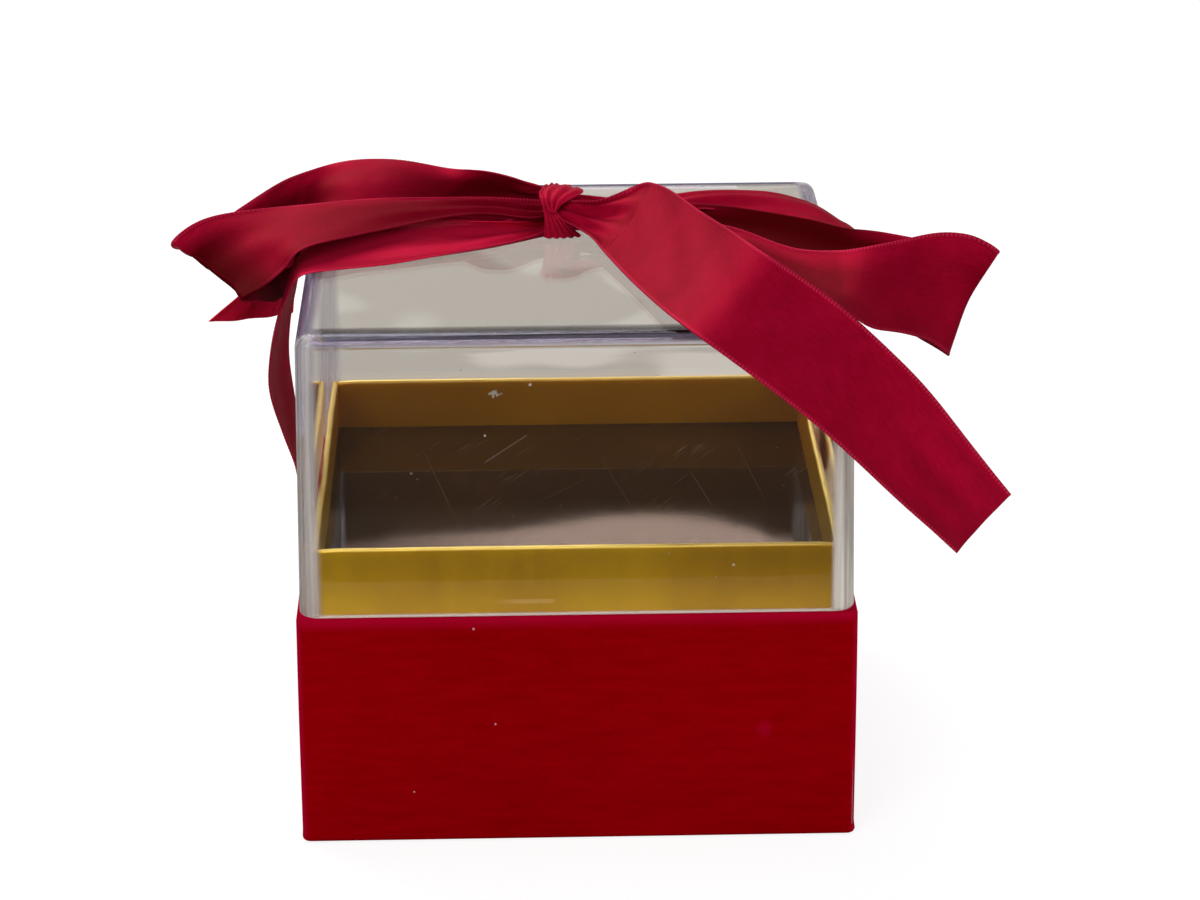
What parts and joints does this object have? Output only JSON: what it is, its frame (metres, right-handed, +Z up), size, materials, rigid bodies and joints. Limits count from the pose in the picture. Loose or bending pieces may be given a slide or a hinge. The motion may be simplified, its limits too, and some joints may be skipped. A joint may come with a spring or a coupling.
{
  "type": "chocolate box",
  "caption": "Square velvet-covered box with a lift-out gold card tray and a clear lift-off lid tied with a satin ribbon bow.",
  "frame": {"origin": "centre of the underside, on the paper that covers the base's bottom", "axes": "+Z up, +X to the right seen from the front, the front tail of the bow hangs over the -Y side"},
  "size_m": [0.1819, 0.1483, 0.1291],
  "materials": {
    "greyboard": "matt",
    "stay_paper": "matt",
    "velvet": "napped pile",
    "bottom_paper": "matt",
    "floor_lining": "matt",
    "gold_card": "metallic foil",
    "tray_board": "matt",
    "brown_gloss_sheet": "gloss",
    "clear_plastic": "clear, polished",
    "satin_ribbon": "satin weave"
  },
  "bodies": {
    "base": {"base_wall_front": "greyboard", "base_wall_back": "greyboard", "base_wall_left": "greyboard", "base_wall_right": "greyboard", "base_floor_board": "greyboard", "base_corner_stays": "stay_paper", "velvet_wrap": "velvet", "base_bottom_paper": "bottom_paper", "base_floor_lining": "floor_lining", "tray_rest_front": "greyboard", "tray_rest_back": "greyboard", "tray_rest_left": "greyboard", "tray_rest_right": "greyboard"},
    "tray": {"tray_wall_front": "gold_card", "tray_wall_back": "gold_card", "tray_wall_left": "gold_card", "tray_wall_right": "gold_card", "tray_floor_board": "tray_board", "tray_floor_sheet": "brown_gloss_sheet", "tray_floor_flaps": "gold_card"},
    "lid": {"lid_shell": "clear_plastic", "bow_knot": "satin_ribbon", "ribbon_band_left": "satin_ribbon", "ribbon_band_right": "satin_ribbon", "bow_loop_left": "satin_ribbon", "bow_loop_right": "satin_ribbon", "bow_tail_front": "satin_ribbon", "bow_tail_left": "satin_ribbon"}
  },
  "joints": [
    {"name": "lid_lift", "type": "slide", "parent": "base", "child": "lid", "axis": [0, 0, 1], "range_m": [0, 0.08]},
    {"name": "tray_lift", "type": "slide", "parent": "base", "child": "tray", "axis": [0, 0, 1], "range_m": [0, 0.03]}
  ]
}
